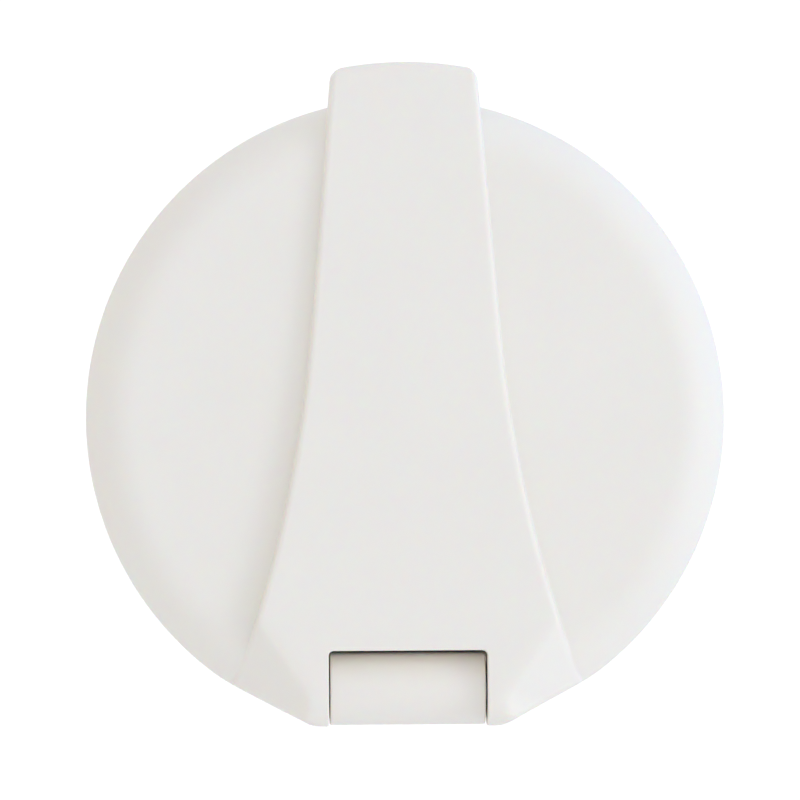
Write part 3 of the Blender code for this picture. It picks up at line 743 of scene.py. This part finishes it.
def make_small_screw(node, body, place):
    """A round-headed screw. Those of the cover point the other way."""
    reach = span(node)
    outward = 1 if body == "base" else -1
    top, tip = (reach.front, reach.back) if outward > 0 else (reach.back, reach.front)
    profile = [(0, top)]
    profile += [(SMALL_HEAD * math.sin(angle), top - outward * SMALL_DOME * (1 - math.cos(angle)))
                for angle in np.linspace(0, SMALL_DOME_END, 9)[1:]]
    profile += [(SMALL_HEAD, top - outward * SMALL_EDGE), (SMALL_HEAD, top - outward * SMALL_SEAT)]
    profile += [(SMALL_SHANK, top - outward * (SMALL_SEAT + 0.05))]
    profile += [(SMALL_SHANK, along)
                for along in np.arange(top - outward * 1.4, tip + outward * 0.3, -outward * 0.11)]
    profile += [(SMALL_TIP, tip), (0, tip)]
    start, end = (top - 1.6, tip) if outward > 0 else (tip, top + 1.6)
    thread = helix(SMALL_PITCH, SMALL_SHANK, SMALL_ROOT, start, end, 0.5)
    screw = turned(f"round_{node}", profile, at(*place), 32, thread)
    combine(screw, recess(place, top, outward, SMALL_CROSS), "DIFFERENCE")
    dress(screw, body, "steel", STEEL, node)


def make_small_screws():
    """The screws that hold the two halves of the release."""
    for number, side in enumerate((-1, 1), 1):
        place = (side * SMALL_SCREW[0], SMALL_SCREW[1])
        make_small_screw(f"bracket_screw_{number}", "base", place)
        make_small_screw(f"tab_screw_{number}", "cover_lid", place)


def make_hinge_pin():
    """A plain rod with chamfered ends."""
    rod = [(0, PIN.left), (PIN_RADIUS, PIN.left), (PIN_RADIUS, PIN.right), (0, PIN.right)]
    axle = turned("hinge_axle", eased(rod, PIN_CHAMFER, 6), on_hinge, 64)
    dress(axle, "cover_lid", "steel", STEEL, "hinge_pin")


def make_spring():
    """Close coils of round wire with a straight end along the axis on each side."""
    node = span("hinge_spring")
    last = SPRING_TURNS * SPRING_STEPS
    along = [node.left, *np.linspace(-SPRING_HALF, SPRING_HALF, last + 1), node.right]
    curve = bpy.data.curves.new("spring", "CURVE")
    curve.dimensions = "3D"
    curve.bevel_depth = SPRING_WIRE * MM
    curve.bevel_resolution = 3
    curve.use_fill_caps = True
    spline = curve.splines.new("POLY")
    spline.points.add(len(along) - 1)
    for number, point in enumerate(spline.points):
        angle = 2 * math.pi * min(max(number - 1, 0), last) / SPRING_STEPS
        out, up = SPRING_RADIUS * math.sin(angle), SPRING_RADIUS * math.cos(angle)
        point.co = (along[number] * MM, -(HINGE_OUT + out) * MM, (HINGE_UP + up) * MM, 1)
    wire = add("spring_wire", curve)
    bpy.context.view_layer.update()
    mesh = bpy.data.meshes.new_from_object(wire.evaluated_get(bpy.context.evaluated_depsgraph_get()))
    bpy.data.objects.remove(wire, do_unlink=True)
    work = bmesh.new()
    work.from_mesh(mesh)
    bmesh.ops.remove_doubles(work, verts=work.verts, dist=0.000001)
    bmesh.ops.recalc_face_normals(work, faces=work.faces)
    work.to_mesh(mesh)
    work.free()
    mesh.shade_smooth()
    mesh.set_sharp_from_angle(angle=SHARP_WIRE)
    dress(add("torsion_spring", mesh), "base", "steel", STEEL, "hinge_spring")


# ---------------------------------------------------------------- heat release

def strip_distance(x, z, out, back, front):
    """A flat strip between two heights, with its two screw holes."""
    half_height, half_sheet = (BRACKET.top - BRACKET.bottom) / 2, (front - back) / 2
    flat = rounded(np.abs(x) - BRACKET.right, np.abs(z - BRACKET.z) - half_height, STRIP_CORNER)
    sheet = rounded(flat, np.abs(out - (back + front) / 2) - half_sheet, STRIP_EDGE)
    hole = np.hypot(np.abs(x) - SMALL_SCREW[0], z - SMALL_SCREW[1]) - STRIP_HOLE
    return rounded(sheet, -hole, 0.1)


def bracket_distance(x, z, out):
    """The strip on the flange, with a table bent out of its lower edge."""
    foot = strip_distance(x, z, out, BRACKET.back, BRACKET.back + SHEET)
    sheet = rounded(BRACKET.bottom - z, out - BRACKET.front, TABLE_BEND)
    under = rounded(BRACKET.bottom + TABLE_SHEET - z, out - BRACKET.front + TABLE_SHEET, TABLE_BEND_INSIDE)
    bend = largest(sheet, -under, z - BRACKET.top, BRACKET.back + 0.1 - out)
    return filleted(foot, rounded(bend, np.abs(x) - TABLE_HALF, 0.15), 0.25)


def tab_distance(x, z, out):
    """The flat strip on the cover."""
    return strip_distance(x, z, out, TAB.back, TAB.front)


def solder_distance(x, z, out):
    """A thin pad with a soft, slightly uneven edge."""
    wave = 0.12 * np.sin(2.3 * x + 0.7) * np.cos(3.1 * z) + 0.05 * np.sin(5.7 * x)
    half_height = (SOLDER.top - SOLDER.bottom) / 2 - SOLDER_INSET
    flat = rounded(np.abs(x) - SOLDER.right + SOLDER_INSET, np.abs(z - SOLDER.z) - half_height, 0.8)
    return rounded(flat + wave, np.abs(out - SOLDER.out) - (SOLDER.front - SOLDER.back) / 2, 0.3)


def around(node, step):
    """An even grid round a node."""
    low = (node.left - MARGIN, node.bottom - MARGIN, node.back - MARGIN)
    high = (node.right + MARGIN, node.top + MARGIN, node.front + MARGIN)
    return block(low, high, step)


def make_release():
    """The bent bracket, the strip, the solder between them and the foam seal inside the cover."""
    bracket = mould("bent_bracket", bracket_distance, around(BRACKET, RELEASE_STEP))
    dress(bracket, "base", "copper", COPPER, "release_bracket")
    tab = mould("release_strip", tab_distance, around(TAB, RELEASE_STEP))
    dress(tab, "cover_lid", "copper", COPPER, "release_tab")
    pad = mould("solder_pad", solder_distance, around(SOLDER, RELEASE_STEP))
    dress(pad, "cover_lid", "solder", SOLDER_METAL, "fusible_solder")
    seal = span("cover_seal")
    edge = [(seal.right, seal.back), (seal.right, seal.front), (SEAL_INNER, seal.front),
            (SEAL_INNER, seal.back)]
    ring = turned("foam_seal", eased(edge, 0.5, 6), steps=192)
    dress(ring, "cover_lid", "foam", FOAM, "cover_seal")


# ---------------------------------------------------------------- sprinkler

def hexagon(x, z, flats):
    """Distance to a hexagon with corners to the left and right."""
    x, z = np.abs(x), np.abs(z)
    return np.maximum(z, 0.5 * z + math.sqrt(0.75) * x) - flats / 2


def nut_distance(x, z, out, flats, hole, back, front):
    """A hexagon with its corners chamfered on both faces."""
    half, middle = (front - back) / 2, (front + back) / 2
    radius = np.hypot(x, z)
    body = rounded(hexagon(x, z, flats), np.abs(out - middle) - half, 0.25)
    cone = 0.5 * (radius - flats / 2 * 1.02) + math.sqrt(0.75) * (np.abs(out - middle) - half)
    body = softened(body, cone, 0.15)
    chamfer = math.sqrt(0.5) * (hole + 0.5 - radius + np.abs(out - middle) - half)
    return largest(body, hole - radius, chamfer)


def ellipse(z, out, half, reach):
    """Distance to the arms' curve: an ellipse in front of the bend, straight behind it."""
    ahead = np.maximum(out - ARM_BEND, 0)
    size = np.sqrt((z / half) ** 2 + (ahead / reach) ** 2)
    slope = np.sqrt((z / half ** 2) ** 2 + (ahead / reach ** 2) ** 2) / np.maximum(size, 0.01)
    return (size - 1) / np.maximum(slope, 0.02)


def frame_distance(x, z, out):
    """The casting: wrench boss, two curved arms and the front boss."""
    radius = np.hypot(x, z)
    hexagonal = nut_distance(x, z, out, HEX_FLATS, BORE_RADIUS, HEX_BACK, HEX_FRONT)
    bow = rounded(ellipse(z, out, *ARM_OUTER), -ellipse(z, out, *ARM_INNER), ARM_EDGES[0])
    bow = rounded(bow, np.abs(x) - ARM_HALF_THICK, ARM_EDGES[1])
    bow = np.maximum(bow, -ARM_END - out)
    boss = rounded(radius - BOSS_RADIUS, np.abs(out - BOSS_MIDDLE) - BOSS_REACH, 0.4)
    body = filleted(filleted(bow, boss, 1.0), hexagonal, 0.6)
    countersink = math.sqrt(0.5) * (BOSS_HOLE - radius + out - FRAME.front + 0.4)
    drilled = largest(body, BOSS_HOLE - radius, countersink)
    bored = np.maximum(body, BORE_RADIUS - radius)
    return np.where(out > BOSS_HOLE_END, drilled, np.where(out > BORE_END, body, bored))


def make_frame():
    """The casting with its pipe thread, cut as a helix."""
    low = (-HEX_FLATS / 2 - 2, -HEX_FLATS / 2 - 1.9, HEX_BACK - MARGIN)
    high = (HEX_FLATS / 2 + 2, HEX_FLATS / 2 + 1.9, FRAME.front + MARGIN)
    casting = mould("frame_casting", frame_distance, block(low, high, FRAME_STEP))
    end = FRAME.back
    neck = [(NECK_INSIDE, HEX_BACK + 1), (THREAD_ROOT, HEX_BACK + 1), (THREAD_ROOT, HEX_BACK - 0.6)]
    rings = [(THREAD_RADIUS, along) for along in np.arange(THREAD_START, end + 0.5, -THREAD_PITCH / 12)]
    mouth = [(THREAD_ROOT - 0.1, end + 0.3), (THREAD_ROOT - 0.5, end), (PIPE_MOUTH, end),
             (PIPE_BORE, end + 0.6), (PIPE_BORE, HEX_BACK + 1)]
    thread = helix(THREAD_PITCH, THREAD_RADIUS, THREAD_ROOT, THREAD_START, end + 0.6, 1.2)

    def grooves(radius, along, angle):
        return thread(radius, along, angle) if radius == THREAD_RADIUS else radius

    pipe = turned("pipe_thread", neck + rings + mouth, steps=128, grooves=grooves)
    combine(casting, pipe, "UNION")
    shade_by(casting, frame_distance)
    dress(casting, "sprinkler", "brass", BRASS_CAST, "sprinkler_frame")


def deflector_distance(x, z, out):
    """A stamped plate with twelve open slots, and a hood bent back along its top."""
    radius = np.hypot(x, z)
    pitch = 2 * math.pi / DEFLECTOR_SLOTS
    fold = np.mod(np.arctan2(z, x), pitch) - pitch / 2
    along, across = radius * np.cos(fold), radius * np.sin(fold)
    slot = np.hypot(across, np.minimum(along - SLOT_START, 0)) - SLOT_HALF
    flat = rounded(rounded(radius - DEFLECTOR_RADIUS, -slot, 0.3), BOSS_HOLE - radius, 0.1)
    plate = rounded(flat, np.abs(out - DEFLECTOR.front + PLATE_HALF) - PLATE_HALF, 0.18)
    hood_front = DEFLECTOR.front - 0.1
    middle, reach = (DEFLECTOR.back + hood_front) / 2, (hood_front - DEFLECTOR.back) / 2
    hood = rounded(np.abs(x) - HOOD_HALF, np.abs(z - HOOD_MIDDLE) - PLATE_HALF, 0.2)
    hood = rounded(hood, np.abs(out - middle) - reach, 0.3)
    return filleted(plate, hood, 0.5)


def make_deflector():
    """The stamped plate in front of the casting."""
    plate = mould("stamped_deflector", deflector_distance, around(DEFLECTOR, DEFLECTOR_STEP))
    dress(plate, "sprinkler", "brass", BRASS_TURNED, "deflector")


def bulb_profile(node, wall, front, back, count):
    """The bulb's outline between two heights: a long barrel with a drawn neck and a sealed tip."""
    profile = []
    for turn in np.linspace(0, math.pi, count):
        along = float(front - (front - back) * (1 - math.cos(turn)) / 2)
        shoulder = min(max((node.front - wall - along) / BULB_SHOULDER, 0), 1)
        tail = min(max((along - node.back - wall) / BULB_TAIL, 0), 1)
        share = math.sqrt(math.sin(math.pi / 2 * shoulder ** 0.8) * math.sin(math.pi / 2 * tail))
        profile.append(((BULB_RADIUS - wall) * share, along))
    return profile


def make_bulb():
    """Glass outside, red liquid inside, with the bubble's room left at the front."""
    node = span("glass_bulb")
    glass = bulb_profile(node, 0, node.front, node.back, 60)
    glass = [(0, node.front), *glass[1:-1], (0, node.back)]
    dress(turned("bulb_shell", glass, steps=64), "sprinkler", "bulb_glass", GLASS, "glass_bulb")
    top, low = node.front - BUBBLE_ROOM, node.back + BULB_WALL + 0.5
    # The liquid's top is hollow, because the bubble is round.
    fluid = [(0, top - 0.7), (0.9, top - 0.6), (1.5, top - 0.35)]
    fluid += [*bulb_profile(node, BULB_WALL, top, low, 48), (0, low)]
    dress(turned("bulb_liquid", fluid, steps=64), "sprinkler", "bulb_glass", LIQUID)


def make_load_screw():
    """A grub screw with a hexagon socket, which presses on the bulb's front."""
    reach = span("load_screw")
    front, back = reach.front, reach.back
    profile = [(0, front - 0.15), (1.7, front - 0.15), (2.0, front - 0.4), (2.0, back + 0.7), (1.4, back)]
    screw = turned("pressure_screw", eased(profile + [(0, back)], 0.15), steps=64)
    flats = [(SOCKET_SIZE * math.cos(angle), SOCKET_SIZE * math.sin(angle))
             for angle in np.arange(6) * math.pi / 3]
    points = [(x, z, out) for out in (front + 0.2, front - SOCKET_DEPTH) for x, z in flats]
    combine(screw, prism("socket", points), "DIFFERENCE")
    dress(screw, "sprinkler", "brass", BRASS_TURNED, "load_screw")


def make_valve_cap():
    """The cap that closes the bore, with a small hollow for the bulb's tip."""
    cap = span("valve_cap")
    profile = [(0, cap.front - 0.7), (1.3, cap.front - 0.6), (1.6, cap.front - 0.1), (2.3, cap.front),
               (5.8, cap.front - 0.4), (cap.right, cap.front - 1.2), (cap.right, cap.back), (0, cap.back)]
    dress(turned("seat_cap", eased(profile, 0.25)), "sprinkler", "brass", BRASS_TURNED, "valve_cap")


def make_spring_seal():
    """The disc spring under the cap."""
    seal = span("spring_seal")
    profile = [(5.0, seal.front), (seal.right, seal.front - 0.35), (seal.right, seal.back),
               (5.0, seal.back + 0.3)]
    dress(turned("disc_spring", eased(profile, 0.12)), "sprinkler", "steel", STEEL, "spring_seal")


def arc_corner(radius, along, bend):
    """A quarter circle from a wall to a floor, in a profile's corner."""
    return [(radius - bend + bend * math.cos(turn), along + bend - bend * math.sin(turn))
            for turn in np.linspace(0, math.pi / 2, 7)]


def make_cup():
    """The drawn cup with a rolled mouth and a hole for the thread."""
    floor, mouth = CUP.back + CUP_FLOOR, CUP.front
    inner = CUP.right - CUP_WALL
    profile = [(CUP.right, mouth - 0.45)] + arc_corner(CUP.right, CUP.back, CUP_CORNER)
    profile += [(CUP_HOLE + 0.2, CUP.back), (CUP_HOLE, CUP.back + 0.2)]
    profile += [(CUP_HOLE, floor - 0.2), (CUP_HOLE + 0.2, floor)]
    profile += arc_corner(inner, floor, CUP_CORNER_INSIDE)[::-1]
    profile += [(inner, mouth - 0.45), (inner + 0.15, mouth - 0.12), (inner + 0.45, mouth)]
    profile += [(CUP.right - 0.15, mouth - 0.12)]
    cup = turned("drawn_cup", profile, steps=192)
    dress(cup, "sprinkler", "cup_metal", CUP_STEEL, "recess_cup")


def back_nut_distance(x, z, out):
    """The nut that clamps the cup."""
    nut = span("retaining_nut")
    return nut_distance(x, z, out, nut.top - nut.bottom, CUP_HOLE, nut.back, nut.front)


def make_back_fixings():
    """Washer and nut behind the cup."""
    washer = span("sealing_washer")
    edge = [(CUP_HOLE, washer.front), (washer.right, washer.front), (washer.right, washer.back),
            (CUP_HOLE, washer.back)]
    ring = turned("fibre_ring", eased(edge, 0.18), steps=128)
    dress(ring, "sprinkler", "fibre", FIBRE, "sealing_washer")
    nut = mould("hexagon_nut", back_nut_distance, around(span("retaining_nut"), 0.3))
    dress(nut, "sprinkler", "brass", BRASS_TURNED, "retaining_nut")


# ---------------------------------------------------------------- materials

def new_material(name):
    """A material, its nodes, its links and its shader."""
    material = bpy.data.materials.new(name)
    material.use_nodes = True
    nodes = material.node_tree.nodes
    return material, nodes, material.node_tree.links, nodes["Principled BSDF"]


def surface(name, light, dark, clouds, grain, roughness, bump, metallic=0.0, stretch=(1, 1, 1),
            texture="ShaderNodeTexNoise", ior=1.5):
    """Colour that drifts between two tones, and a grain that drives bump and roughness.

    clouds and grain are the scales of the two patterns, roughness is its range, bump is its strength and
    its height in millimetres, and stretch makes both patterns longer along an axis where it is below 1.
    """
    material, nodes, links, shader = new_material(name)
    place = nodes.new("ShaderNodeTexCoord")
    mapping = nodes.new("ShaderNodeMapping")
    mapping.inputs["Scale"].default_value = stretch
    links.new(place.outputs["Object"], mapping.inputs["Vector"])
    fine = nodes.new(texture)
    fine.inputs["Scale"].default_value = grain
    links.new(mapping.outputs["Vector"], fine.inputs["Vector"])
    relief = nodes.new("ShaderNodeBump")
    relief.inputs["Strength"].default_value = bump[0]
    relief.inputs["Distance"].default_value = bump[1] * MM
    links.new(fine.outputs[0], relief.inputs["Height"])
    links.new(relief.outputs["Normal"], shader.inputs["Normal"])
    cloud = nodes.new("ShaderNodeTexNoise")
    cloud.inputs["Scale"].default_value = clouds
    cloud.inputs["Detail"].default_value = 5
    links.new(mapping.outputs["Vector"], cloud.inputs["Vector"])
    tint = nodes.new("ShaderNodeValToRGB")
    tint.color_ramp.elements[0].position = 0.3
    tint.color_ramp.elements[0].color = (*dark, 1)
    tint.color_ramp.elements[1].position = 0.7
    tint.color_ramp.elements[1].color = (*light, 1)
    links.new(cloud.outputs[0], tint.inputs["Fac"])
    links.new(tint.outputs["Color"], shader.inputs["Base Color"])
    gloss = nodes.new("ShaderNodeMapRange")
    gloss.inputs["To Min"].default_value = roughness[0]
    gloss.inputs["To Max"].default_value = roughness[1]
    links.new(fine.outputs[0], gloss.inputs["Value"])
    links.new(gloss.outputs["Result"], shader.inputs["Roughness"])
    shader.inputs["Metallic"].default_value = metallic
    shader.inputs["IOR"].default_value = ior
    return material


def white_plastic():
    """Satin moulded plastic that lets a little warm light through at its edges."""
    material = surface("white_plastic_fine", (0.905, 0.855, 0.775), (0.893, 0.843, 0.762), 60, 5200,
                       (0.46, 0.56), (0.12, 0.04), ior=1.47)
    shader = material.node_tree.nodes["Principled BSDF"]
    shader.inputs["Subsurface Weight"].default_value = 0.45
    shader.inputs["Subsurface Radius"].default_value = (1.0, 0.4, 0.15)
    shader.inputs["Subsurface Scale"].default_value = 0.5 * MM
    return material


def clear(name, light, dark, ior):
    """Transparent glass or liquid with a trace of unevenness."""
    material = surface(name, light, dark, 300, 900, (0.0, 0.03), (0.03, 0.01), ior=ior)
    material.node_tree.nodes["Principled BSDF"].inputs["Transmission Weight"].default_value = 1
    return material


WHITE = white_plastic()
FOAM = surface("closed_cell_foam", (0.19, 0.19, 0.2), (0.12, 0.12, 0.13), 400, 2600, (0.8, 0.95),
               (0.6, 0.12), texture="ShaderNodeTexVoronoi")
STEEL = surface("zinc_plated_steel", (0.72, 0.73, 0.75), (0.55, 0.54, 0.5), 350, 1800, (0.24, 0.42),
                (0.2, 0.02), 1.0)
COPPER = surface("rolled_copper", (0.83, 0.5, 0.36), (0.6, 0.33, 0.22), 260, 2600, (0.25, 0.45),
                 (0.25, 0.02), 1.0, (0.12, 1, 1))
SOLDER_METAL = surface("fusible_alloy", (0.7, 0.7, 0.72), (0.5, 0.5, 0.51), 500, 1500, (0.4, 0.65),
                       (0.5, 0.06), 1.0)
BRASS_CAST = surface("cast_brass", (0.8, 0.6, 0.3), (0.66, 0.47, 0.22), 220, 1300, (0.28, 0.42),
                     (0.2, 0.02), 1.0)
BRASS_TURNED = surface("turned_brass", (0.85, 0.65, 0.34), (0.74, 0.54, 0.26), 160, 2400, (0.2, 0.32),
                       (0.12, 0.01), 1.0, (1, 0.15, 1))
CUP_STEEL = surface("drawn_steel", (0.7, 0.7, 0.69), (0.56, 0.56, 0.55), 90, 1900, (0.3, 0.5),
                    (0.25, 0.02), 1.0, (1, 0.08, 1))
FIBRE = surface("pressed_fibre", (0.5, 0.17, 0.11), (0.34, 0.1, 0.07), 300, 2200, (0.7, 0.9),
                (0.5, 0.08), stretch=(1, 1, 0.3))
GLASS = clear("clear_glass", (1, 1, 1), (0.97, 0.99, 0.98), 1.5)
LIQUID = clear("red_liquid", (0.85, 0.02, 0.01), (0.75, 0.01, 0.01), 1.33)


def dress(obj, body, slot, material, *replaced):
    """Gives a piece its material, the body that it moves with and the CAD nodes that it stands for."""
    obj.data.materials.clear()
    obj.data.materials.append(material)
    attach(obj, body)
    if replaced:
        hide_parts(*replaced)


lid = mould("cover_moulding", cover_distance, cover_grid())
dress(lid, "cover_lid", "white_plastic", WHITE, "cover")
make_base()
make_gasket()
make_bolts()
make_small_screws()
make_hinge_pin()
make_spring()
make_release()
make_frame()
make_deflector()
make_bulb()
make_load_screw()
make_valve_cap()
make_spring_seal()
make_cup()
make_back_fixings()


# ---------------------------------------------------------------- light and camera

TENT_LEFT = (0.695, 0.675, 0.655)
TENT_RIGHT = (0.730, 0.828, 1.0)
TENT_STRENGTH = 1.17
KEY_POWER = 1.7
KEY_SIZE = 0.45
KEY_PLACE = (0.95, -0.6, 0.1)
SEEN_STRENGTH = 1.1
SENSOR = 36
LENS = 600
EYE_TURN = math.radians(-1.36)
EYE_RISE = math.radians(-1.1)
EYE_ROLL = math.radians(-0.38)
WIDTH_SEEN = 0.10477
FACE_PLANE = -0.0155
VIEW_CENTRE = (-0.00085, 0.0021)
FLOOR_DROP = 0.16
FLOOR_SIZE = 0.6
FLOOR_COLOUR = (0.95, 0.94, 0.92, 1)


def key_light():
    """A round soft light that points at the object."""
    data = bpy.data.lights.new("key", "AREA")
    data.shape = "DISK"
    data.size = KEY_SIZE
    data.energy = KEY_POWER
    light = add("key", data)
    light.location = KEY_PLACE
    light.rotation_euler = (-Vector(KEY_PLACE)).to_track_quat("-Z", "Y").to_euler()


def studio():
    """A light tent, warmer and weaker on the left, a white backdrop and one soft key on the right."""
    world = bpy.data.worlds.new("studio")
    bpy.context.scene.world = world
    world.use_nodes = True
    nodes, links = world.node_tree.nodes, world.node_tree.links
    direction = nodes.new("ShaderNodeTexCoord")
    sides = nodes.new("ShaderNodeSeparateXYZ")
    links.new(direction.outputs["Generated"], sides.inputs["Vector"])
    share = nodes.new("ShaderNodeMapRange")
    share.inputs["From Min"].default_value = -1
    links.new(sides.outputs["X"], share.inputs["Value"])
    ramp = nodes.new("ShaderNodeValToRGB")
    ramp.color_ramp.elements[0].color = (*TENT_LEFT, 1)
    ramp.color_ramp.elements[1].color = (*TENT_RIGHT, 1)
    links.new(share.outputs["Result"], ramp.inputs["Fac"])
    fill = nodes["Background"]
    fill.inputs["Strength"].default_value = TENT_STRENGTH
    links.new(ramp.outputs["Color"], fill.inputs["Color"])
    seen = nodes.new("ShaderNodeBackground")
    seen.inputs["Color"].default_value = (1, 1, 1, 1)
    seen.inputs["Strength"].default_value = SEEN_STRENGTH
    path = nodes.new("ShaderNodeLightPath")
    mix = nodes.new("ShaderNodeMixShader")
    links.new(path.outputs["Is Camera Ray"], mix.inputs[0])
    links.new(fill.outputs["Background"], mix.inputs[1])
    links.new(seen.outputs["Background"], mix.inputs[2])
    links.new(mix.outputs["Shader"], nodes["World Output"].inputs["Surface"])
    key_light()
    view = bpy.context.scene.view_settings
    view.view_transform = "Standard"
    view.look = "None"


def camera():
    """Almost straight on, from far away: a touch from the left and below, and slightly tilted."""
    data = bpy.data.cameras.new("camera")
    data.sensor_width = SENSOR
    data.lens = LENS
    eye = add("camera", data)
    level = math.cos(EYE_RISE)
    away = Vector((math.sin(EYE_TURN) * level, -math.cos(EYE_TURN) * level, math.sin(EYE_RISE)))
    target = Vector((VIEW_CENTRE[0], FACE_PLANE, VIEW_CENTRE[1]))
    eye.location = target + away * (WIDTH_SEEN * data.lens / data.sensor_width)
    turn = away.to_track_quat("Z", "Y") @ Quaternion((0, 0, 1), EYE_ROLL)
    eye.rotation_euler = turn.to_euler()
    data.clip_start = 0.01
    bpy.context.scene.camera = eye


def floor():
    """A plain pale sheet, well below the object, which hangs on a wall."""
    mesh = bpy.data.meshes.new("floor")
    sheet = bmesh.new()
    bmesh.ops.create_grid(sheet, x_segments=1, y_segments=1, size=FLOOR_SIZE)
    sheet.to_mesh(mesh)
    sheet.free()
    obj = add("floor", mesh)
    obj.location.z = cad_box[0].z - FLOOR_DROP
    material, _, _, shader = new_material("pale_floor")
    shader.inputs["Base Color"].default_value = FLOOR_COLOUR
    shader.inputs["Roughness"].default_value = 0.9
    mesh.materials.append(material)


studio()
camera()
floor()
